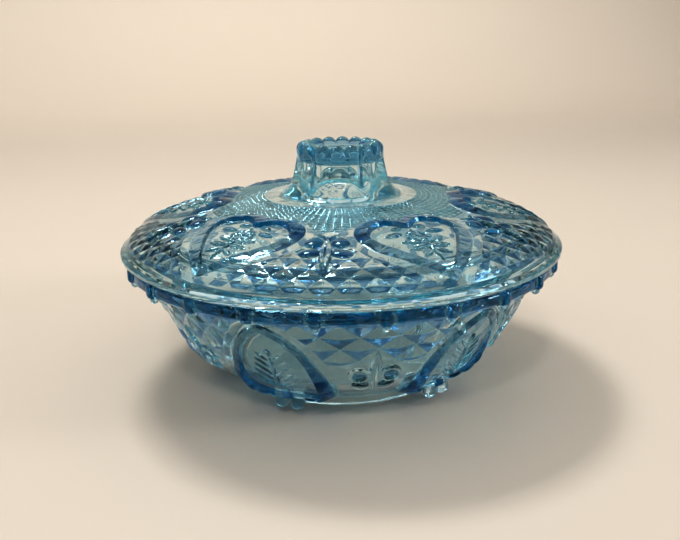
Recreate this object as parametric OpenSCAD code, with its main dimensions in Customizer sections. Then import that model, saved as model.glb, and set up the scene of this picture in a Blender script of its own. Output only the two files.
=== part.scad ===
// Covered candy dish in pressed blue glass: a footed bowl and a lid that lifts off.
// Millimetres. The origin is the centre of the foot ring's flat underside, +Z is up,
// and the middle of one diamond panel of the bowl faces -Y.

/* [Rim] */
// Height of the flat rim the lid rests on
seat_z = 52.5; // [51:0.5:58]
// Radius of the bowl's mouth
mouth_r = 78; // [77:0.5:80]
// Outer radius of the bamboo rim band between its nodes
band_r = 86.6; // [85:0.2:88]
// Height of the bamboo rim band
band_h = 5.5; // [4.5:0.5:7]
// Number of bamboo nodes round the band
node_count = 24; // [18:6:30]
// Radius of one bamboo node
node_r = 1.9; // [1.4:0.1:2.4]
// Radius of the pearl under each node
pearl_r = 1.8; // [1.4:0.1:2.2]

/* [Bowl] */
// Thickness of the bowl's glass wall
wall = 4; // [3:0.5:5]
// Lean of the wall from the vertical, in degrees
wall_lean = 28.7; // [24:0.1:32]
// Radius of the curve between the wall and the base
belly_r = 30; // [26:1:34]
// Height of the lowest point of that curve
belly_z = 4.4; // [4:0.2:6]
// Outer radius of the foot ring
foot_r = 46; // [43:0.5:48]
// Width of the foot ring
foot_w = 4; // [3:0.5:6]
// Height of the hollow under the base
foot_hollow = 2.8; // [2:0.2:3.6]
// Radius of one foot pearl
foot_pearl_r = 2.8; // [2.4:0.1:3.2]
// Radius of the circle the foot pearls stand on
foot_pearl_circle = 55.6; // [54:0.2:58]
// Half the angle between the two pearls of a pair, in degrees
foot_pearl_half = 3.3; // [3:0.1:4.5]

/* [Lid] */
// Outer radius of the lid's edge
lid_r = 89; // [88:0.2:92]
// Height of the upright edge of the lid
lid_edge = 4; // [3:0.5:5]
// Height of the dome's crown above the seat
dome_h = 22.2; // [20:0.2:24]
// Thickness of the dome's glass
lid_wall = 4; // [3:0.5:4.5]
// Depth the locating ring reaches into the bowl
ring_drop = 3; // [2:0.5:3]
// Gap between the locating ring and the bowl's mouth
ring_gap = 0.8; // [0.5:0.1:1.5]
// Thickness of the locating ring
ring_w = 2.6; // [2:0.2:3.2]
// Turn of the lid against the bowl, in degrees
lid_turn = -13.5; // [-30:0.5:30]

/* [Knob] */
// Outer radius of the knob's scalloped crown
knob_r = 17.9; // [16:0.1:19]
// Height of the knob's crown above the seat
knob_h = 42; // [38:0.5:46]
// Number of round lobes on the crown
lobe_count = 16; // [12:2:18]
// Radius of one lobe
lobe_r = 3.1; // [2.9:0.1:3.6]
// Radius of the hollow inside the knob
bore_r = 11; // [9:0.5:12]
// Glass left above that hollow
crown_h = 7.4; // [6:0.2:9]
// Depth of the six panels pressed into the knob's side
panel_depth = 1.2; // [0.6:0.1:1.6]

/* [Hearts] */
// Number of heart medallions round each piece
heart_count = 6; // [4:1:6]
// Height of a heart's rib above the bowl
bowl_rib = 2.2; // [1.6:0.1:2.4]
// Height of a heart's rib above the lid
lid_rib = 1.5; // [1:0.1:2]
// Width of a rib
rib_w = 4.6; // [4:0.2:5.4]

/* [Hidden] */
$fn = 96;
pitch = 360 / heart_count;
ease = 0.5;
edge_round = 0.8;
band_z = seat_z - band_h;
wall_top_r = mouth_r + 3.3;
belly_cz = belly_z + belly_r;
wall_foot_z = belly_cz - belly_r * sin(wall_lean);
belly_cr = wall_top_r - (band_z - wall_foot_z) * tan(wall_lean) - belly_r * cos(wall_lean);
heart_lean = 34.4;
curve_steps = 8;
ring_r = mouth_r - ring_gap;
knob_top = seat_z + knob_h;
dome_top = seat_z + dome_h;
shoulder_z = seat_z + lid_edge;
bore_top = knob_top - crown_h;

// Points on an arc about [r, z], from angle a0 to a1
function arc(r, z, rad, a0, a1) = [
    for (i = [0 : curve_steps])
        let (a = a0 + (a1 - a0) * i / curve_steps) [r + rad * cos(a), z + rad * sin(a)]
];

// Radius of the wall at height z, for a wall moved out by grow
function wall_at(z, grow) = wall_top_r + grow / cos(wall_lean) - (band_z - z) * tan(wall_lean);

// Height of the dome's outer face over radius r
function dome_at(r) = dome_top - 0.00175 * r * r;

// Points along the dome, lowered by drop
function dome_line(r0, r1, drop) = [
    for (i = [0 : curve_steps])
        let (r = r0 + (r1 - r0) * i / curve_steps) [r, dome_at(r) - drop]
];

// The belly and wall as one line, from the base up, grown outward by grow
function side(grow, top_z) = concat(
    arc(belly_cr, belly_cz, belly_r + grow, -90, -wall_lean),
    [[wall_at(top_z, grow), top_z]]
);

// Half section of the bowl
module bowl_section() {
    difference() {
        union() {
            polygon(concat([[0, belly_z]], side(0, band_z + 1), [[0, band_z + 1]]));
            translate([0, foot_hollow]) square([foot_r - 1, belly_z + 1]);
            square([foot_r, belly_z + 1.2]);
            polygon([[mouth_r - 4, band_z], [band_r - edge_round, band_z],
                     [band_r, band_z + edge_round], [band_r, seat_z - edge_round],
                     [band_r - edge_round, seat_z], [mouth_r - 4, seat_z]]);
        }
        square([foot_r - foot_w, foot_hollow]);
        polygon(concat([[0, belly_z + wall]], side(-wall, seat_z + 2), [[0, seat_z + 2]]));
        translate([0, seat_z - 4]) square([mouth_r, 5]);
    }
}

// A solid of the bowl's outside, grown by grow
module bowl_skin(grow) {
    rotate_extrude()
        polygon(concat([[0, belly_z - grow]], side(grow, band_z - 1), [[0, band_z - 1]]));
}

// Flat heart with its lobes at the origin side and its point at [0, len]
module heart(len, half, lobe) {
    for (s = [-1, 1]) translate([s * (half - lobe), lobe]) circle(r = lobe);
    polygon([[half - 0.1, lobe + 1], [half * 0.84, len * 0.5], [half * 0.5, len * 0.78], [0, len],
             [-half * 0.5, len * 0.78], [-half * 0.84, len * 0.5], [0.1 - half, lobe + 1],
             [lobe - half, lobe * 0.6], [half - lobe, lobe * 0.6]]);
}

// The heart's raised border
module heart_border(len, half, lobe) {
    difference() {
        heart(len, half, lobe);
        translate([0, rib_w]) heart(len - 2.4 * rib_w, half - rib_w, lobe - rib_w * 0.8);
    }
}

// One heart border standing off the bowl's wall, its lobes at the foot
module bowl_heart() {
    intersection() {
        difference() {
            bowl_skin(bowl_rib);
            bowl_skin(-1);
        }
        translate([0, -foot_pearl_circle, belly_z + 1.6])
            rotate([90 + heart_lean, 0, 0]) translate([0, 0, -10])
                linear_extrude(30) heart_border(44, 15.5, 8.5);
    }
}

// One vertical node of the band, with the pearl below it
module band_node() {
    translate([0, -band_r + 0.1, band_z - 0.4]) {
        cylinder(r = node_r, h = band_h);
        sphere(r = pearl_r);
    }
}

// A pair of foot pearls, on short stems
module foot_pair() {
    for (s = [-1, 1])
        rotate(s * foot_pearl_half)
            translate([0, -foot_pearl_circle, foot_pearl_r + 2.4]) {
                sphere(r = foot_pearl_r);
                cylinder(r = foot_pearl_r * 0.8, h = 5);
            }
}

module bowl() {
    color([0.45, 0.72, 0.82, 0.5]) {
        rotate_extrude() bowl_section();
        for (i = [0 : node_count - 1]) rotate(i * 360 / node_count) band_node();
        for (i = [0 : heart_count - 1]) rotate((i + 0.5) * pitch) {
            bowl_heart();
            foot_pair();
        }
    }
}

// Half section of the lid, without its knob
module lid_section() {
    polygon(concat(
        dome_line(0, 76, 0),
        [[lid_r - 8.5, shoulder_z + 5.9], [lid_r - 5.4, shoulder_z + 3.8],
         [lid_r - 3, shoulder_z + 1.6], [lid_r - 1.2, shoulder_z - 0.4],
         [lid_r, shoulder_z - 1.2], [lid_r, seat_z + ease], [lid_r - ease, seat_z],
         [lid_r - lid_wall - 2, seat_z], [lid_r - lid_wall - 2.6, shoulder_z - 1.6],
         [lid_r - lid_wall - 4.6, shoulder_z + 1.1], [ring_r, shoulder_z + 3.2],
         [ring_r, seat_z - ring_drop], [ring_r - ring_w, seat_z - ring_drop]],
        dome_line(ring_r - ring_w, 0, lid_wall)
    ));
}

// Solid of the dome's outside, raised by grow
module dome_skin(grow) {
    rotate_extrude()
        polygon(concat([[0, seat_z + 8]], dome_line(0, 76, -grow),
                       [[80, seat_z + 10.1 + grow], [80, seat_z + 8]]));
}

// One heart border standing off the dome, its lobes by the collar
module lid_heart() {
    intersection() {
        difference() {
            dome_skin(lid_rib);
            dome_skin(-1);
        }
        translate([0, -44, seat_z]) rotate(180)
            linear_extrude(60) heart_border(35.4, 20, 10.5);
    }
}

// Half section of the knob
module knob_section() {
    side_r = knob_r - 0.7;
    polygon([[0, dome_top - 3], [25, dome_top - 3], [24.4, dome_at(24.4)], [22.6, dome_top + 0.4],
             [20.6, dome_top + 2.6], [19.2, dome_top + 5.6], [18.2, dome_top + 9],
             [side_r, dome_top + 13], [side_r, knob_top - 3], [side_r - 1.2, knob_top - 1.8],
             [side_r - 5.6, knob_top - 1.8], [side_r - 6.6, knob_top - 2.8], [0, knob_top - 2.8]]);
}

module knob() {
    difference() {
        rotate_extrude() knob_section();
        for (i = [0 : 5]) rotate(i * 60)
            translate([0, -(knob_r - 0.7 + 30 - panel_depth), dome_top + 5])
                cylinder(r = 30, h = knob_h - dome_h - 5 - 2 * lobe_r);
    }
    for (i = [0 : lobe_count - 1]) rotate(i * 360 / lobe_count)
        translate([0, lobe_r - knob_r, knob_top - lobe_r]) sphere(r = lobe_r);
}

module lid() {
    color([0.5, 0.76, 0.84, 0.5]) rotate(lid_turn) difference() {
        union() {
            rotate_extrude() lid_section();
            knob();
            for (i = [0 : heart_count - 1]) rotate((i + 0.5) * pitch) lid_heart();
        }
        translate([0, 0, seat_z]) cylinder(r1 = bore_r + 4, r2 = bore_r, h = bore_top - seat_z);
    }
}

bowl();
lid();
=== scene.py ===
"""Covered candy dish in pressed blue glass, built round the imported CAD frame.

Two pieces of glass, the bowl and the lid. Each is one closed skin: a profile turned round
the Z axis, with the pressed pattern raised along the profile's normal. Lengths in the
profiles and patterns are millimetres; positions come from the CAD boxes.
"""

import math

import bpy
import numpy as np
from mathutils import Matrix, Vector


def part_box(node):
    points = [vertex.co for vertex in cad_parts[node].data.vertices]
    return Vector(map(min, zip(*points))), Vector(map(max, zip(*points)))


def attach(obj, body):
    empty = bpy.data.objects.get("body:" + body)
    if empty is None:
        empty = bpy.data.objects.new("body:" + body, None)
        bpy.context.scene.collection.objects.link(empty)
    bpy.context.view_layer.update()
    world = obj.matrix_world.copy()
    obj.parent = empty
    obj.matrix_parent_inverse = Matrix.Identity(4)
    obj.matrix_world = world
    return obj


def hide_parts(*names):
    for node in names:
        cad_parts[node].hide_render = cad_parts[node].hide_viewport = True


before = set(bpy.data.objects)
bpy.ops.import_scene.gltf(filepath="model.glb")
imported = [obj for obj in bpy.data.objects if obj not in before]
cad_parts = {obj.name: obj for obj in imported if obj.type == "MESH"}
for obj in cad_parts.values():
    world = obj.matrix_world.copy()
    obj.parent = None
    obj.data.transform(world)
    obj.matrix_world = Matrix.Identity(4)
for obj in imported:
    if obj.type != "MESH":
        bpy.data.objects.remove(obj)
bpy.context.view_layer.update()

MM = 0.001
PANELS = 6
PANEL = 360 / PANELS
COLUMNS = 240  # mesh columns across one panel
TURN = np.linspace(0, 360, PANELS * COLUMNS, endpoint=False) - PANEL / 2
ACROSS = TURN[:COLUMNS]  # degrees from the middle of a panel, hearts at both ends
LID_TURN = -13.5
SHARP_ANGLE = 14  # edges that bend more than this many degrees stay crisp
PEARL_WRAP = 112  # degrees of a pearl's ball that stand free of the skin, from its tip
PEARL_DEPTH, HEART_DEPTH, MARGIN_DEPTH = 0.12, 0.12, 0.1  # faint colour where glass is thin

_, bowl_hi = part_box("bowl")
_, lid_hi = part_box("lid")
SEAT = bowl_hi[2] / MM  # height of the rim the lid rests on
TOP = lid_hi[2] / MM
LID_R = lid_hi[0] / MM


# ---------------------------------------------------------------- profiles


def arc(r, z, radius, start, end, steps=32):
    """Points on an arc about (r, z), between two angles in degrees."""
    a = np.radians(np.linspace(start, end, steps + 1))
    return np.column_stack((r + radius * np.cos(a), z + radius * np.sin(a)))


def rounded(*corners):
    """Polyline through (r, z, fillet) corners, with each inner corner rounded off."""
    corners = np.array(corners, float)
    out = [corners[0, :2]]
    for before, (r, z, fillet), after in zip(corners, corners[1:], corners[2:]):
        at = np.array((r, z))
        back, ahead = before[:2] - at, after[:2] - at
        back /= np.linalg.norm(back)
        ahead /= np.linalg.norm(ahead)
        half = math.acos(np.clip(back @ ahead, -1, 1)) / 2
        reach = fillet / math.tan(half)
        for t in np.linspace(0, 1, 9):
            out.append(at + back * reach * (1 - t) ** 2 + ahead * reach * t**2)
    return np.array(out + [corners[-1, :2]])


def smooth_curve(points, steps=12):
    """Catmull-Rom curve through the points."""
    p = np.array(points, float)
    p = np.vstack((2 * p[0] - p[1], p, 2 * p[-1] - p[-2]))
    t = np.linspace(0, 1, steps, endpoint=False)[:, None]
    out = []
    for a, b, c, d in zip(p, p[1:], p[2:], p[3:]):
        out.append(
            b
            + t * (c - a) / 2
            + t**2 * (a - 2.5 * b + 2 * c - d / 2)
            + t**3 * (1.5 * (b - c) + (d - a) / 2)
        )
    return np.vstack((*out, p[-2:-1]))


def lengths(points):
    """Distance along a line at each of its points."""
    return np.concatenate(([0], np.cumsum(np.linalg.norm(np.diff(points, axis=0), axis=1))))


def spaced(points, step):
    """The same line with its points about one step apart."""
    along = lengths(points)
    at = np.linspace(0, along[-1], max(2, round(along[-1] / step)) + 1)
    return np.column_stack([np.interp(at, along, points[:, k]) for k in (0, 1)])


def joined(strips):
    """All strips as one profile, and the slice of rows that belongs to each strip."""
    rows, line = {}, np.empty((0, 2))
    for name, points in strips.items():
        if len(line) and np.allclose(line[-1], points[0], atol=1e-6):
            points = points[1:]
        rows[name] = slice(len(line), len(line) + len(points))
        line = np.vstack((line, points))
    return line, rows


def outward(line):
    """Unit normals of a profile, pointing out of the glass."""
    along = np.gradient(line, axis=0)
    along /= np.linalg.norm(along, axis=1)[:, None]
    return np.column_stack((along[:, 1], -along[:, 0]))


# ---------------------------------------------------------------- pattern shapes


def step_up(x, low, high):
    """0 below low, 1 above high, smooth between."""
    t = np.clip((x - low) / (high - low), 0, 1)
    return t * t * (3 - 2 * t)


def half_round(distance, half_width):
    """Cross-section of a raised rounded rib, 1 on its centre line."""
    return np.sqrt(np.clip(1 - (distance / half_width) ** 2, 0, 1))


def diamonds(u, v):
    """Pressed diamond points: 1 on each apex, 0 in the grooves between."""
    p, q = (u + v) / 2, (u - v) / 2
    return 1 - 2 * np.maximum(np.abs(p - np.round(p)), np.abs(q - np.round(q)))


def lower_facets(u, v):
    """Mask of painted shade: 1 on the two facets of each diamond on its far side along v, 0 on the
    other two.
    """
    p, q = (u + v) / 2, (u - v) / 2
    return step_up((p - np.round(p)) - (q - np.round(q)), -0.02, 0.04)


def oval(x, y, cx, cy, rx, ry, lean=0):
    """Distance measure of an oval: 0 at its centre, 1 on its edge."""
    c, s = math.cos(math.radians(lean)), math.sin(math.radians(lean))
    dx, dy = x - cx, y - cy
    return np.hypot((dx * c + dy * s) / rx, (dy * c - dx * s) / ry)


def bump(x, y, cx, cy, rx, ry, lean=0):
    """A raised oval drop, 1 at its centre."""
    return half_round(oval(x, y, cx, cy, rx, ry, lean), 1)


def leaf(x, y, foot, tip, half_width):
    """A raised pointed leaf with a vein, from its foot to its tip."""
    foot, tip = np.array(foot, float), np.array(tip, float)
    size = np.linalg.norm(tip - foot)
    ax, ay = (tip - foot) / size
    t = ((x - foot[0]) * ax + (y - foot[1]) * ay) / size
    off = np.abs((y - foot[1]) * ax - (x - foot[0]) * ay)
    width = half_width * np.clip(np.sin(np.pi * np.clip(t, 0, 1)), 0, 1) ** 0.8
    inside = (t > 0) & (t < 1) & (off < width)
    body = 1 - 0.35 * off / np.maximum(width, 1e-6)
    vein = 0.35 * np.exp(-((off / 0.35) ** 2))
    edge = step_up(width - off, 0, 0.5)
    return np.where(inside, (body - vein) * edge, 0)


def stem(x, y, points, half_width):
    """A thin raised line along a curve."""
    distance, _, _ = nearest(x, y, smooth_curve(points))
    return half_round(distance, half_width)


def nearest(x, y, curve):
    """Distance to a curve, distance along it, and the side (+ on its left)."""
    best = np.full(x.shape, 1e9)
    along = np.zeros(x.shape)
    side = np.zeros(x.shape)
    at = lengths(curve)
    for (ax, ay), (bx, by), start in zip(curve, curve[1:], at):
        ex, ey = bx - ax, by - ay
        size = math.hypot(ex, ey)
        t = np.clip(((x - ax) * ex + (y - ay) * ey) / size**2, 0, 1)
        distance = np.hypot(x - ax - t * ex, y - ay - t * ey)
        closer = distance < best
        best = np.where(closer, distance, best)
        along = np.where(closer, start + t * size, along)
        turn = ex * (y - ay) - ey * (x - ax)
        side = np.where(closer, np.sign(turn), side)
    return best, along, side


# ---------------------------------------------------------------- the glass skins


def tiled(panel):
    """One panel's heights repeated round the piece."""
    return np.tile(panel, (1, PANELS))


def off_nearest(count):
    """Degrees from each column to the nearest of count features spaced evenly round."""
    pitch = 360 / count
    return ((TURN + pitch / 2) % pitch - pitch / 2)[None, :]


def spoke(degrees, r, z):
    """Point at radius r and height z, on a bearing measured from -Y."""
    a = math.radians(degrees)
    return np.array((r * math.sin(a), -r * math.cos(a), z))


def skin_points(line, height):
    """The profile turned round Z, raised by height along its normal."""
    normal = outward(line)
    r = line[:, :1] + height * normal[:, :1]
    z = line[:, 1:] + height * normal[:, 1:]
    a = np.radians(TURN)[None, :]
    return np.stack((r * np.sin(a), -r * np.cos(a), z + 0 * a), axis=-1)


def pearl(points, depth_and_painted_light, foot, centre, radius, reach):
    """Pulls the skin round foot out into a clear ball of glass about centre."""
    axis = centre - foot
    axis /= np.linalg.norm(axis)
    d = points - foot
    flat = d - (d @ axis)[..., None] * axis
    across = np.linalg.norm(flat, axis=-1)
    near = (np.linalg.norm(d, axis=-1) < reach * 1.3) & (across < reach)
    rho = across[near] / reach
    way = flat[near] / np.maximum(across[near], 1e-9)[:, None]
    bend = np.radians(PEARL_WRAP) * np.clip(rho / 0.8, 0, 1)
    ball = centre + radius * (np.sin(bend)[:, None] * way + np.cos(bend)[:, None] * axis)
    blend = step_up(rho, 0.72, 1)[:, None]
    points[near] = ball * (1 - blend) + points[near] * blend
    skin = step_up(rho, 0.7, 1)
    depth_and_painted_light[near] = depth_and_painted_light[near] * skin + PEARL_DEPTH * (1 - skin)


def triangles(height, count):
    """Triangles between neighbouring rows, and a fan at each pole.

    Each cell is split along the diagonal on which the pattern bends less, so creases stay crisp.
    """
    h = height
    right, far, left = (np.roll(h, shift, 1) for shift in (-1, -2, 1))

    def up(a, n):
        return np.vstack((a[n:], np.repeat(a[-1:], n, 0)))

    def down(a):
        return np.vstack((a[:1], a[:-1]))

    along = np.abs(down(left) - 2 * h + up(right, 1)) + np.abs(h - 2 * up(right, 1) + up(far, 2))
    across = np.abs(down(far) - 2 * right + up(h, 1)) + np.abs(right - 2 * up(h, 1) + up(left, 2))
    rows, columns = h.shape
    cell = np.arange(rows - 1)[:, None] * columns + np.arange(columns)[None, :]
    beside = np.roll(cell, -1, 1)
    a, b, c, d = (q.ravel() + 1 for q in (cell, beside, beside + columns, cell + columns))
    rising = (along <= across)[:-1].ravel()[:, None]
    first = np.where(rising, np.column_stack((a, b, c)), np.column_stack((a, b, d)))
    second = np.where(rising, np.column_stack((a, c, d)), np.column_stack((b, c, d)))
    ring = np.arange(columns)
    start = np.column_stack((np.zeros_like(ring), np.roll(ring, -1) + 1, ring + 1))
    last = 1 + (rows - 1) * columns
    end = np.column_stack((np.full_like(ring, count - 1), last + ring, last + np.roll(ring, -1)))
    return np.vstack((start, first, second, end))


def glass_piece(name, line, height, points, depth_and_painted_light):
    """Closed mesh of a skin whose profile starts and ends on the axis.

    The tint value, from 0 to 1, says how thick the glass behind a point is, for the material; it also
    carries painted shade, a deeper tint on the diamonds' lower facets, and painted highlight lines, a
    lighter tint beside the band's nodes.
    """
    poles = [np.array((0, 0, line[k, 1])) for k in (0, -1)]
    vertices = np.vstack((poles[0], points[1:-1].reshape(-1, 3), poles[1])) * MM
    faces = triangles(height[1:-1], len(vertices))
    mesh = bpy.data.meshes.new(name)
    mesh.vertices.add(len(vertices))
    mesh.vertices.foreach_set("co", vertices.ravel())
    mesh.loops.add(faces.size)
    mesh.loops.foreach_set("vertex_index", faces.ravel())
    mesh.polygons.add(len(faces))
    mesh.polygons.foreach_set("loop_start", np.arange(0, faces.size, 3))
    mesh.polygons.foreach_set("use_smooth", np.ones(len(faces), bool))
    mesh.update(calc_edges=True)
    mesh.set_sharp_from_angle(angle=math.radians(SHARP_ANGLE))
    depth_and_painted_light = 1 - (1 - np.clip(depth_and_painted_light, 0, 1)) ** 2  # thin places already take some colour
    depth_and_painted_light = np.concatenate((depth_and_painted_light[0, :1], depth_and_painted_light[1:-1].ravel(), depth_and_painted_light[-1, :1]))
    thickness_and_painted_light = mesh.attributes.new("depth_and_painted_light", "FLOAT", "POINT")
    thickness_and_painted_light.data.foreach_set("value", depth_and_painted_light)
    piece = bpy.data.objects.new(name, mesh)
    bpy.context.collection.objects.link(piece)
    return piece


# ---------------------------------------------------------------- bowl

BAND_Z = SEAT - 5.5  # underside of the bamboo band round the rim
BAND_R = 86.6
BAND_TOP = SEAT - 0.15  # a hair under the lid, so the two skins share no face
MOUTH_R = 78
MOUTH_Z = SEAT - 3.6  # foot of the mouth's upright face, under the lid's locating ring
WALL_TOP_R = 81.3  # outer face of the wall where it meets the band
WALL_LEAN = 28.7  # degrees from the vertical
WALL = 4
BELLY = (40.2, 34.4, 30)  # centre (r, z) and radius of the curve between wall and base
FOOT_R = 46
FOOT_W = 4
FOOT_JOIN_R = FOOT_R + 0.6  # where the foot ring runs into the belly
HOLLOW_R = 39  # flat part of the hollow under the base
HOLLOW_Z = 2.8
NODES = 24
NODE_HALF_WIDTH, NODE_HEIGHT = 1.9, 1.4
NODE_LINE = 2.7  # a raised collar stands this far to each side of a node's middle, with a painted highlight line along it
FOOT_PEARL_TURN = 3.3  # degrees from the middle of a pair of foot pearls to each pearl
# the facet value is painted shade: how much deeper the tint on the lower facets of the diamonds is
BOWL_POINT_HEIGHT, BOWL_FACET_SHADE = 0.85, 0.75
BOWL_POINT_TURN = 5  # degrees between the columns of diamond points
BOWL_POINT_ROWS = (18.2, 24, 29.5, 35.1, 40.3, 45.7, 51)  # heights of the rows' meeting lines


def wall_r(z, grow=0):
    """Radius of the bowl's straight wall at height z."""
    lean = math.radians(WALL_LEAN)
    return WALL_TOP_R + grow / math.cos(lean) - (BAND_Z - z) * math.tan(lean)


def bowl_profile():
    """Strips of the bowl's profile, from the middle of its underside to the inside's."""
    r, z, radius = BELLY
    foot_z = z - math.sqrt(radius**2 - (FOOT_JOIN_R - r) ** 2)
    foot_angle = -math.degrees(math.acos((FOOT_JOIN_R - r) / radius))
    base = rounded(
        (HOLLOW_R, HOLLOW_Z, 0), (FOOT_R - FOOT_W, HOLLOW_Z, 1.2), (FOOT_R - FOOT_W + 0.5, 0, 1),
        (FOOT_R - 0.3, 0, 0.8), (FOOT_R, foot_z - 0.4, 1), (FOOT_JOIN_R, foot_z, 0),
    )  # fmt: skip
    side = np.vstack((arc(r, z, radius, foot_angle, -WALL_LEAN), [[wall_r(BAND_Z), BAND_Z]]))
    band = rounded(
        (wall_r(BAND_Z), BAND_Z, 0), (85.2, BAND_Z - 0.1, 0.6), (BAND_R, BAND_Z + 1.3, 0.8),
        (BAND_R, SEAT - 1.2, 0.8), (BAND_R - 1.1, BAND_TOP, 0.6),
        (MOUTH_R, BAND_TOP, 0.8), (MOUTH_R, MOUTH_Z, 0),
    )  # fmt: skip
    inside = np.vstack((
        [[MOUTH_R, MOUTH_Z], [MOUTH_R - 0.2, SEAT - 4.4], [wall_r(SEAT - 6, -WALL), SEAT - 6]],
        arc(r, z, radius - WALL, -WALL_LEAN, -90),
        [[0, z - radius + WALL]],
    ))  # fmt: skip
    return {
        "flat": spaced(np.array([[0, HOLLOW_Z], [HOLLOW_R, HOLLOW_Z]]), 3),
        "base": spaced(base, 0.5),
        "side": spaced(side, 0.4),
        "band": spaced(band, 0.3),
        "inside": spaced(inside, 1.8),
    }


def bowl_heart():
    """Half of a heart's centre line on the bowl: across and up the side, from cleft to tip."""
    return smooth_curve([
        (0, 9.5), (3.2, 6), (8, 4.4), (12, 6.8), (15, 12.5), (15.8, 21), (14.6, 29),
        (12, 37.6), (7, 45.5), (3, 49), (0, 50.5),
    ])  # fmt: skip


def bamboo_rib(distance, along, side, half):
    """Rib with a crisp inner edge that slopes outward, jointed like bamboo, and how deep in colour its
    glass is.
    """
    off = (distance * side + half) / (2 * half)
    slope = np.clip(off / 0.85, 0, 1) ** 0.7 * (1 - step_up(off, 0.78, 1))
    length = half_round((along + 2) % 7.2 - 3.6, 3.5)
    depth_and_painted_light = np.where((off > 0) & (off < 1), 0.75 + 0.25 * length, 0)
    return slope * (0.72 + 0.28 * length), depth_and_painted_light


def wheat(x, y, low, high, spread):
    """A raised ear with a stem and pairs of leaves."""
    height = stem(x, y, [(0, low), (0.4, (low + high) / 2), (0, high)], 0.5) * 0.7
    for k, t in enumerate(np.linspace(0.18, 0.82, 5)):
        foot = low + (high - low) * t
        reach = spread * (1 - 0.55 * t)
        tip = (reach, foot + reach * 0.9)
        height = np.maximum(height, leaf(x, y, (0.3, foot), tip, 1.15 - 0.12 * k))
    return np.maximum(height, bump(x, y, 0, high, 1.3, 2.2))


def bowl_side(line):
    """Pattern on the bowl's side for one panel."""
    a = ACROSS[None, :]
    r, z = line[:, :1], line[:, 1:]
    s = lengths(line)[:, None]
    heart_x = np.radians(PANEL / 2 - np.abs(a)) * r
    heart_y = s + 0 * a
    x, y = np.radians(np.abs(a)) * r, s + 0 * a

    curve = bowl_heart()
    distance, along, side = nearest(heart_x, heart_y, curve)
    t = along / lengths(curve)[-1]
    inside = side > 0
    slim = step_up(t, 0.25, 0.8)  # the border grows thin and low towards the heart's tip
    half = 3.1 - 1.5 * slim
    rib, rib_depth = bamboo_rib(distance, along, side, half)
    rib = rib * (2.6 - 1.8 * slim)
    depth_and_painted_light = rib_depth * (1 - 0.55 * step_up(t, 0.5, 0.85))

    rows_z = (BELLY[1] - BELLY[2], *BOWL_POINT_ROWS)
    u, v = a / BOWL_POINT_TURN, np.interp(z, rows_z, np.arange(len(rows_z)) - 5) + 0 * a
    points = BOWL_POINT_HEIGHT * diamonds(u, v)
    # painted shade: the diamonds' lower facets take a deeper tint than the upper ones
    shade = BOWL_FACET_SHADE * lower_facets(u, -v)
    clear = half + 4.2
    field = np.where(inside, 0, step_up(distance, clear, clear + 0.5))
    field = field * step_up(z, 27.2, 28.2) * (1 - step_up(z, 45.9, 46.4))
    field = field * step_up(np.abs(a) * 0.5 + z, 30, 33)  # a dip in its lower edge
    height = points * field
    depth_and_painted_light = np.maximum(depth_and_painted_light, shade * field)

    y_low, y_ring, y_tail = (s[np.argmin(np.abs(z - at)), 0] for at in (17.3, 22.7, 34.5))
    ring = np.hypot(x - np.radians(4.6) * 68, y - y_ring)  # 4.6 degrees round, at radius 68
    wing = 1.1 * half_round(ring - 3.1, 0.9) + half_round(ring, 1.9)
    wing = np.maximum(wing, 1.2 * bump(x, y, 4.5, y_low, 3.2, 2.3, 20))
    body = 1.5 * leaf(x, y, (0, y_low - 3), (0, y_tail), 2.3)
    height = np.maximum(height, np.maximum(wing, body))
    depth_and_painted_light = np.maximum(depth_and_painted_light, 0.8 * half_round(ring, 2.2))
    depth_and_painted_light = np.maximum(depth_and_painted_light, 0.5 * (1 - step_up(s, 3, 9)))  # a deeper tint low on the side, just above the foot

    hollow = np.where(inside, step_up(distance, half, half + 0.8), 0)
    ear = 0.95 * wheat(heart_x, heart_y, 13, 38, 10)
    height = np.maximum(height, ear * hollow)
    depth_and_painted_light = np.maximum(depth_and_painted_light, HEART_DEPTH * hollow)
    groove = 0.5 * half_round(distance - half - 0.6, 0.6) * np.where(inside, 0, 1)
    height = np.maximum(height, rib) - groove * (distance > half)
    ends = step_up(s, 0, 1.2) * step_up(s[-1] - s, 0, 0.8)
    return height * ends, depth_and_painted_light


def band_pattern(line):
    """Bamboo band: nodes, fine level ridges and waisted lengths between nodes, and its tint, with
    painted highlight lines beside the nodes.
    """
    r, z = line[:, :1], line[:, 1:]
    x = np.radians(off_nearest(NODES)) * BAND_R
    face = step_up(r, 84.8, 86) * step_up(z, BAND_Z - 0.3, BAND_Z + 0.6)
    face *= 1 - step_up(z, SEAT - 1, SEAT - 0.2)
    node = NODE_HEIGHT * half_round(x, NODE_HALF_WIDTH) ** 0.6
    collar = 0.35 * half_round(np.abs(x) - NODE_LINE, 0.7)
    between = step_up(np.abs(x), 3.2, 4.2)
    lines = 0.16 * np.sin((z - BAND_Z) / 1.05 * 2 * math.pi) * between
    waist = -0.35 * (1 - (np.abs(x) / 11.3) ** 2) * between
    depth_and_painted_light = step_up(r, 84.2, 85.6) * (1 - step_up(z, SEAT - 0.9, SEAT - 0.3))
    # painted highlight: a lighter tint along a fine line beside each node
    depth_and_painted_light = depth_and_painted_light * (1 - 0.6 * half_round(np.abs(x) - NODE_LINE, 0.8))
    return np.maximum(node, collar + lines + waist) * face, depth_and_painted_light


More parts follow.
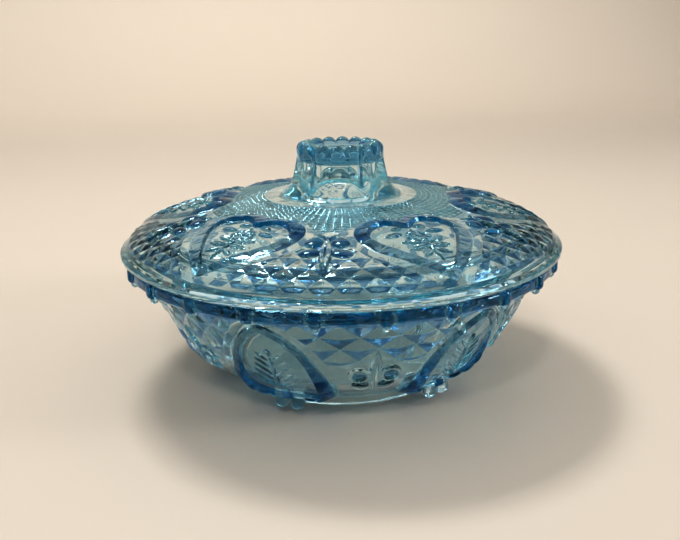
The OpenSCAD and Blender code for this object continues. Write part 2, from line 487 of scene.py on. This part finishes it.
def build_bowl():
    """The bowl, with its pearls under the band and at the foot."""
    line, rows = joined(bowl_profile())
    height, depth_and_painted_light = np.zeros((2, len(line), len(TURN)))
    height[rows["side"]], depth_and_painted_light[rows["side"]] = map(tiled, bowl_side(line[rows["side"]]))
    height[rows["band"]], depth_and_painted_light[rows["band"]] = band_pattern(line[rows["band"]])
    points = skin_points(line, height)
    for k in range(NODES):
        turn = k * 360 / NODES
        foot, centre = spoke(turn, 84.9, BAND_Z + 0.3), spoke(turn, 85.3, BAND_Z - 0.5)
        pearl(points, depth_and_painted_light, foot, centre, radius=1.6, reach=2.4)
    for k in range(PANELS):
        for beside in (-FOOT_PEARL_TURN, FOOT_PEARL_TURN):
            turn = (k + 0.5) * PANEL + beside
            foot, centre = spoke(turn, 54.6, 8.2), spoke(turn, 55.6, 5.3)
            pearl(points, depth_and_painted_light, foot, centre, radius=2.75, reach=3.6)
    return glass_piece("bowl_glass_body", line, height, points, depth_and_painted_light)


# ---------------------------------------------------------------- lid

DOME_TOP = SEAT + 22.2
DOME_FALL = 0.00175  # fall of the dome's face per square millimetre of radius
LID_WALL = 4
LID_SEAT = SEAT + 0.05
RING_IN_R, RING_OUT_R = 74.6, 77.2  # the locating ring under the lid
RING_Z = SEAT - 3
UNDER_R = RING_IN_R - 2  # where the dome's inside starts to curve down into the ring
KNOB_R = 17.7
KNOB_FOOT_R = 26
LOBES = 16
LOBE_R = 3.1
BORE_TOP = TOP - 7.4
BORE_FOOT_R = 15.5
CROWN_DIP_R = 7  # flat middle of the dip in the crown
CROWN_DIP_Z = TOP - 3.4
COLLAR_DEPTH = 0.22
CROWN_DEPTH, RIDGE_DEPTH = 0.5, 0.6  # colour of the crown and of the knob's ridges
# the facet value is painted shade: how much deeper the tint on the lower facets of the diamonds is
LID_POINT_HEIGHT, LID_FACET_SHADE = 0.5, 0.7
LID_POINT_TURN = 3  # degrees between the columns of diamond points
LID_POINT_ROWS = (53, 57.5, 62.5, 67.5, 72.6, 77.7, 81, 84.5, 88)  # radii of the meeting lines


def dome_z(r):
    """Height of the dome's outer face."""
    return DOME_TOP - DOME_FALL * r**2


def dome_line(start, end, drop=0):
    """Points along the dome between two radii, lowered by drop."""
    r = np.linspace(start, end, 60)
    return np.column_stack((r, dome_z(r) - drop))


def lid_profile():
    """Strips of the lid's profile, from the top of its bore round its edge to the knob's top."""
    bore = rounded(
        (0, BORE_TOP, 0), (11, BORE_TOP, 1.6), (12.9, dome_z(13) - LID_WALL, 0.9),
        (BORE_FOOT_R, dome_z(BORE_FOOT_R) - LID_WALL, 0),
    )  # fmt: skip
    under = dome_line(BORE_FOOT_R, UNDER_R, LID_WALL)
    rim = rounded(
        (UNDER_R, dome_z(UNDER_R) - LID_WALL, 0), (RING_IN_R, dome_z(RING_IN_R) - LID_WALL, 0.8),
        (RING_IN_R, RING_Z, 0.7), (RING_OUT_R, RING_Z, 0.7), (RING_OUT_R, SEAT + 7.2, 0.9),
        (80.4, SEAT + 5.1, 1), (82.4, SEAT + 2.4, 1), (83, LID_SEAT, 0.5), (87.2, LID_SEAT, 0.6),
        (LID_R, SEAT + 1.5, 0.8), (LID_R, SEAT + 2.9, 0.5), (87.9, SEAT + 3.7, 0.5),
        (86.1, SEAT + 5.6, 0),
    )  # fmt: skip
    dome = np.vstack((
        smooth_curve([(86.1, SEAT + 5.6), (83.6, SEAT + 7.8), (80.4, SEAT + 9.9), (76, dome_z(76))]),
        dome_line(75, KNOB_FOOT_R),
    ))  # fmt: skip
    knob = smooth_curve([
        (KNOB_FOOT_R, dome_z(KNOB_FOOT_R)), (24.2, DOME_TOP - 0.8), (22.2, DOME_TOP + 0.7),
        (20.4, DOME_TOP + 2.7), (19.3, DOME_TOP + 5.6), (18.5, DOME_TOP + 9),
        (KNOB_R, DOME_TOP + 13), (KNOB_R, TOP - 4.4), (KNOB_R, TOP - LOBE_R),
    ])  # fmt: skip
    crown = np.vstack((
        arc(KNOB_R - LOBE_R, TOP - LOBE_R, LOBE_R, 0, 165),
        rounded((11.6, TOP - 2.6, 0), (11.2, CROWN_DIP_Z, 0.5), (CROWN_DIP_R, CROWN_DIP_Z, 0)),
    ))
    return {
        "bore": spaced(bore, 0.9),
        "under": spaced(under, 2),
        "rim": spaced(rim, 0.45),
        "dome": spaced(dome, 0.4),
        "knob": spaced(knob, 0.45),
        "crown": spaced(crown, 0.25),
        "top": spaced(np.array([[CROWN_DIP_R, CROWN_DIP_Z], [0, CROWN_DIP_Z]]), 1.4),
    }


def lid_heart():
    """Half of a heart's centre line on the lid: across and outward, from cleft to tip."""
    return smooth_curve([
        (0, 50.8), (3, 48), (8, 46.8), (13.3, 48.5), (17, 52), (18.6, 56.4), (17.4, 62.4),
        (14.2, 68), (8.8, 75.2), (3.8, 80.4), (0, 83.4),
    ])  # fmt: skip


def flower_sprig(x, y):
    """Flower, stem and leaves inside a lid heart."""
    height = 0.8 * stem(x, y, [(0, 56), (0.5, 63), (0, 77)], 0.55)
    for k in range(7):
        a = math.radians(-90 + k * 30)
        cx, cy = 3 * math.cos(a), 61.5 + 3 * math.sin(a)
        height = np.maximum(height, bump(x, y, cx, cy, 2, 1.05, math.degrees(a)))
    height = np.maximum(height, 1.1 * bump(x, y, 0, 61.5, 1.5, 1.5))
    for foot, tip, half in (
        ((0.3, 66), (8.5, 63.5), 1.5), ((0.3, 68.5), (8.2, 69), 1.5),
        ((0.3, 71), (5.4, 74.5), 1.2), ((4.5, 58), (11.8, 58.5), 1.5),
    ):  # fmt: skip
        height = np.maximum(height, leaf(x, y, foot, tip, half))
    return np.maximum(height, bump(x, y, 4.6, 53.8, 2.4, 1.3, 15))


def lid_dome(line):
    """Pattern on the lid's dome for one panel."""
    a = ACROSS[None, :]
    r = line[:, :1] + 0 * a
    heart_x = r * np.sin(np.radians(PANEL / 2 - np.abs(a)))
    heart_y = r * np.cos(np.radians(PANEL / 2 - np.abs(a)))
    x = np.radians(np.abs(a)) * r

    curve = lid_heart()
    distance, along, side = nearest(heart_x, heart_y, curve)
    t = along / lengths(curve)[-1]
    inside = side > 0
    half = np.interp(t, (0, 0.3, 0.42, 0.6, 0.8, 1), (3.2, 3.1, 2.6, 3.0, 2.4, 1.4))
    rib, rib_depth = bamboo_rib(distance, along, side, half)
    fade = step_up(t, 0.28, 0.55)  # the border is lower and clearer along the heart's sides
    rib = rib * (1.8 - fade)
    depth_and_painted_light = rib_depth * (1 - 0.45 * fade)

    u, v = a / LID_POINT_TURN, np.interp(r, LID_POINT_ROWS, np.arange(len(LID_POINT_ROWS)) - 5)
    points = LID_POINT_HEIGHT * diamonds(u, v)
    # painted shade: the diamonds' lower facets take a deeper tint than the upper ones
    shade = LID_FACET_SHADE * lower_facets(u, v)
    clear = half + 3.4
    away = step_up(distance, clear, clear + 0.5)
    field = np.where(inside, 0, away) * step_up(r, 57, 58)
    margin = np.where(inside, 0, 1 - away) * step_up(r, 57, 58)
    height = points * field
    depth_and_painted_light = np.maximum(depth_and_painted_light, shade * field + MARGIN_DEPTH * margin)

    spokes = np.abs(np.sin(np.radians(a * 48)))
    hoops = np.abs(np.sin(math.pi * (r - 31) / 2.1))
    pins = 0.45 * spokes * hoops
    mesh_end = 53 - 8 * step_up(np.abs(a), 4, 13)  # the collar reaches out between the hearts
    collar = step_up(r, 30.8, 31.4) * (1 - step_up(r, mesh_end, mesh_end + 0.4))
    collar = collar * np.where(inside, 0, step_up(distance, half, half + 0.4))
    height = np.maximum(height * (1 - collar), pins * collar)

    upper = 1.3 * bump(x, r, 4.5, 62.2, 3, 3.6, -35)
    lower = 1.2 * bump(x, r, 5.2, 69.4, 3.9, 2.4, 12)
    body = 1.5 * leaf(x, r, (0, 59), (0, 80.5), 2.3)
    feeler = 0.8 * stem(x, r, [(0.4, 60), (1.6, 57.6), (3.4, 56.4)], 0.45)
    moth = np.maximum(np.maximum(upper, lower), np.maximum(body, feeler))
    around = np.minimum(
        np.minimum(oval(x, r, 4.5, 62.2, 4.4, 5, -35), oval(x, r, 5.2, 69.4, 5.2, 3.6, 12)),
        oval(x, r, 0, 70, 3, 11),
    )
    height = np.maximum(height * step_up(around, 0.95, 1.1), moth)
    depth_and_painted_light = np.maximum(depth_and_painted_light, step_up(np.maximum(upper, lower), 0.1, 0.5))
    depth_and_painted_light = np.maximum(depth_and_painted_light, COLLAR_DEPTH * collar)

    sprig = 0.9 * flower_sprig(heart_x, heart_y)
    hollow = np.where(inside, step_up(distance, half, half + 0.7), 0)
    height = np.maximum(height, sprig * hollow)
    depth_and_painted_light = np.maximum(depth_and_painted_light, (HEART_DEPTH + 0.3 * sprig) * hollow)
    height = np.maximum(height, rib)
    s = lengths(line)[:, None]
    return height * step_up(s, 0.2, 1.2), depth_and_painted_light


def knob_panels(line):
    """Six concave panels pressed into the knob's side."""
    off = np.abs(TURN) % PANEL
    a = np.radians(np.minimum(off, PANEL - off))[None, :]
    z = line[:, 1:]
    dip = 0.95 * KNOB_R * np.clip(1 - math.cos(math.radians(29)) / np.cos(a), 0, 1)
    return -dip * step_up(z, DOME_TOP + 0.5, DOME_TOP + 7) * (1 - step_up(z, TOP - 7.5, TOP - 4.2))


def crown_scallops(line):
    """Grooves that part the crown into round lobes and fade out down the knob's side."""
    x = np.radians(off_nearest(LOBES)) * (KNOB_R - LOBE_R)
    groove = LOBE_R - np.sqrt(np.clip(LOBE_R**2 - x**2, 0.7, None))
    return -groove * step_up(line[:, 1:], TOP - 6.5, TOP - 1) * step_up(line[:, :1], 10.6, 11.6)


def build_lid():
    """The lid with its knob, turned a little against the bowl as in the photograph."""
    line, rows = joined(lid_profile())
    height, depth_and_painted_light = np.zeros((2, len(line), len(TURN)))
    height[rows["dome"]], depth_and_painted_light[rows["dome"]] = map(tiled, lid_dome(line[rows["dome"]]))
    height[rows["knob"]] = knob_panels(line[rows["knob"]])
    knob, above = rows["knob"], slice(rows["knob"].start, rows["crown"].stop)
    depth_and_painted_light[above] = CROWN_DEPTH * step_up(line[above, 1:], BORE_TOP - 0.3, BORE_TOP + 0.3)
    depth_and_painted_light[above] *= step_up(line[above, :1], 13.5, 16.5)
    ridges = np.clip(1 + height[knob] / 0.4, 0, 1)
    ridges *= step_up(line[knob, 1:], DOME_TOP + 1, DOME_TOP + 5)
    depth_and_painted_light[knob] = np.maximum(depth_and_painted_light[knob], RIDGE_DEPTH * ridges)
    height[above] += crown_scallops(line[above])
    points = skin_points(line, height)
    c, s = math.cos(math.radians(LID_TURN)), math.sin(math.radians(LID_TURN))
    points = points @ np.array(((c, s, 0), (-s, c, 0), (0, 0, 1)))
    return glass_piece("lid_glass_body", line, height, points, depth_and_painted_light)


# ---------------------------------------------------------------- materials

GLASS = (0.05, 0.76, 0.89, 1)  # what the body of the glass lets through
CLEAR, MIDDLE, DEEP = (0.96, 0.99, 0.99, 1), (0.34, 0.65, 0.79, 1), (0, 0.075, 0.3, 1)


def new_material(name):
    """A node material, its tree and its main shader."""
    material = bpy.data.materials.new(name)
    material.use_nodes = True
    tree = material.node_tree
    return material, tree, tree.nodes["Principled BSDF"]


def new_node(tree, kind, **values):
    """A node with its inputs set; an input's name is written with _ for each space."""
    node = tree.nodes.new("ShaderNode" + kind)
    for name, value in values.items():
        node.inputs[name.replace("_", " ")].default_value = value
    return node


def pressed_glass(name):
    """Clear tinted glass, deeper in colour where it is thick, with painted shade on the diamonds'
    lower facets and painted highlight lines beside the band's nodes, and a fire-polished skin.
    """
    material, tree, shader = new_material(name)
    link = tree.links.new
    shader.inputs["IOR"].default_value = 1.5
    shader.inputs["Transmission Weight"].default_value = 1
    shader.inputs["Specular Tint"].default_value = (0.4, 0.78, 1, 1)
    place = new_node(tree, "TexCoord").outputs["Object"]

    cloud = new_node(tree, "TexNoise", Scale=320)
    patchy = new_node(tree, "MapRange", To_Min=0.8, To_Max=1.15)
    # the mesh's tint value: how thick the glass is, with painted shade on the diamonds' lower facets
    # and painted highlight lines beside the band's nodes
    thickness_and_painted_light = new_node(tree, "Attribute")
    thickness_and_painted_light.attribute_name = "depth_and_painted_light"
    through = new_node(tree, "Math")
    through.operation = "MULTIPLY"
    tint = new_node(tree, "ValToRGB")
    stops = tint.color_ramp.elements
    stops.new(0.5)
    for stop, shade in zip(stops, (CLEAR, MIDDLE, DEEP)):
        stop.color = shade
    link(place, cloud.inputs["Vector"])
    link(cloud.outputs["Fac"], patchy.inputs["Value"])
    link(thickness_and_painted_light.outputs["Fac"], through.inputs[0])
    link(patchy.outputs["Result"], through.inputs[1])
    link(through.outputs["Value"], tint.inputs["Fac"])
    link(tint.outputs["Color"], shader.inputs["Base Color"])

    smudge = new_node(tree, "TexNoise", Scale=130, Detail=4)
    roughness = new_node(tree, "MapRange", From_Min=0.35, From_Max=0.75, To_Min=0, To_Max=0.045)
    link(place, smudge.inputs["Vector"])
    link(smudge.outputs["Fac"], roughness.inputs["Value"])
    link(roughness.outputs["Result"], shader.inputs["Roughness"])

    flow = new_node(tree, "TexNoise", Scale=55, Detail=2, Roughness=0.45)
    ripple = new_node(tree, "Bump", Strength=0.35, Distance=0.0006)
    link(place, flow.inputs["Vector"])
    link(flow.outputs["Fac"], ripple.inputs["Height"])
    link(ripple.outputs["Normal"], shader.inputs["Normal"])

    body = new_node(tree, "VolumeAbsorption", Color=GLASS, Density=15)
    link(body.outputs["Volume"], tree.nodes["Material Output"].inputs["Volume"])
    return material


# ---------------------------------------------------------------- studio


def soft_light(name, at, aim, size, power, colour):
    """Soft rectangular light at one point, aimed at another."""
    lamp = bpy.data.lights.new(name, "AREA")
    lamp.shape = "RECTANGLE"
    lamp.size, lamp.size_y = size
    lamp.energy = power
    lamp.color = colour
    thing = bpy.data.objects.new(name, lamp)
    thing.location = at
    thing.rotation_euler = (Vector(aim) - Vector(at)).to_track_quat("-Z", "Y").to_euler()
    bpy.context.collection.objects.link(thing)


def plain_material(name, colour, roughness):
    """Matt material with a faint, broad variation of tone."""
    material, tree, shader = new_material(name)
    darker = (*[c * 0.97 for c in colour], 1)
    grain = new_node(tree, "TexNoise", Scale=6)
    tone = new_node(tree, "MixRGB", Color1=darker, Color2=(*colour, 1))
    tree.links.new(grain.outputs["Fac"], tone.inputs["Fac"])
    tree.links.new(tone.outputs["Color"], shader.inputs["Base Color"])
    shader.inputs["Roughness"].default_value = roughness
    return material


def build_floor():
    """Pale floor that curves up into a pale wall behind the dish."""
    half, front, wall_y, bend, top, steps = 2.5, -2.0, 1.6, 0.5, 2.4, 12
    line = [(front, 0), (wall_y - bend, 0)]
    for k in range(1, steps + 1):
        a = math.radians(90 * k / steps)
        line.append((wall_y - bend + bend * math.sin(a), bend - bend * math.cos(a)))
    line.append((wall_y, top))
    vertices = [(x, y, z) for y, z in line for x in (-half, half)]
    faces = [(2 * k, 2 * k + 1, 2 * k + 3, 2 * k + 2) for k in range(len(line) - 1)]
    mesh = bpy.data.meshes.new("studio_floor")
    mesh.from_pydata(vertices, [], faces)
    mesh.shade_smooth()
    floor = bpy.data.objects.new("studio_floor", mesh)
    bpy.context.collection.objects.link(floor)
    mesh.materials.append(plain_material("pale_floor", (0.66, 0.6, 0.53), 0.6))


def build_studio():
    """Floor, four soft lights and a world that is brighter above and behind."""
    build_floor()
    dish, wall = (0, 0, 0.05), (0, 1.6, 0.5)
    soft_light("key_above", (-0.2, 0.42, 1.0), dish, (0.28, 0.2), 4.5, (1, 0.96, 0.9))
    soft_light("side_right", (1.0, -0.4, 0.45), dish, (0.2, 0.3), 3, (1, 0.97, 0.94))
    soft_light("front_top", (-0.25, -0.75, 0.95), dish, (0.12, 0.08), 1.4, (1, 0.98, 0.95))
    soft_light("wall_wash", (0, 0.8, 1.7), wall, (2.2, 0.5), 5, (1, 0.94, 0.86))
    bpy.data.lights["wall_wash"].spread = math.radians(80)
    world = bpy.data.worlds.new("studio")
    bpy.context.scene.world = world
    world.use_nodes = True
    tree = world.node_tree
    sky = tree.nodes["Background"].inputs
    sky["Color"].default_value = (0.93, 0.91, 0.88, 1)
    place = new_node(tree, "TexCoord")
    upward = new_node(tree, "VectorMath")
    upward.operation = "DOT_PRODUCT"
    upward.inputs[1].default_value = (0, 0.55, 0.83)
    shade = new_node(tree, "MapRange", From_Min=-0.6, From_Max=0.8, To_Min=0.04, To_Max=0.66)
    tree.links.new(place.outputs["Generated"], upward.inputs[0])
    tree.links.new(upward.outputs["Value"], shade.inputs["Value"])
    tree.links.new(shade.outputs["Result"], sky["Strength"])


def build_camera():
    """Camera at the photograph's angle: just left of the front, 16 degrees up."""
    distance = 3.611 * (LID_R - 1.4) * MM
    elevation, azimuth, roll = (math.radians(a) for a in (15.81, -9.25, -0.84))
    aim = Vector((0, 0, 46.5 * MM))
    away = Vector((
        math.sin(azimuth) * math.cos(elevation),
        -math.cos(azimuth) * math.cos(elevation),
        math.sin(elevation),
    ))  # fmt: skip
    data = bpy.data.cameras.new("camera")
    data.sensor_width = 36
    data.lens = 39.7
    data.shift_x, data.shift_y = -0.002, -0.0224
    data.clip_start = 0.01
    camera = bpy.data.objects.new("camera", data)
    turn = (-away).to_track_quat("-Z", "Y").to_matrix().to_4x4()
    level = Matrix.Rotation(roll, 4, "Z")
    camera.matrix_world = Matrix.Translation(aim + away * distance) @ turn @ level
    bpy.context.collection.objects.link(camera)
    bpy.context.scene.camera = camera


# ---------------------------------------------------------------- scene

build_camera()
build_studio()
for build, node, body, slot in (
    (build_bowl, "bowl", "bowl_body", "bowl_glass"),
    (build_lid, "lid", "lid_body", "lid_glass"),
):
    piece = build()
    piece.data.materials.append(pressed_glass(slot))
    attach(piece, body)
    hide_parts(node)

view, cycles = bpy.context.scene.view_settings, bpy.context.scene.cycles
view.view_transform = "Standard"
view.look = "High Contrast"
cycles.max_bounces = cycles.transmission_bounces = 28  # light crosses several skins of glass
cycles.glossy_bounces = 10
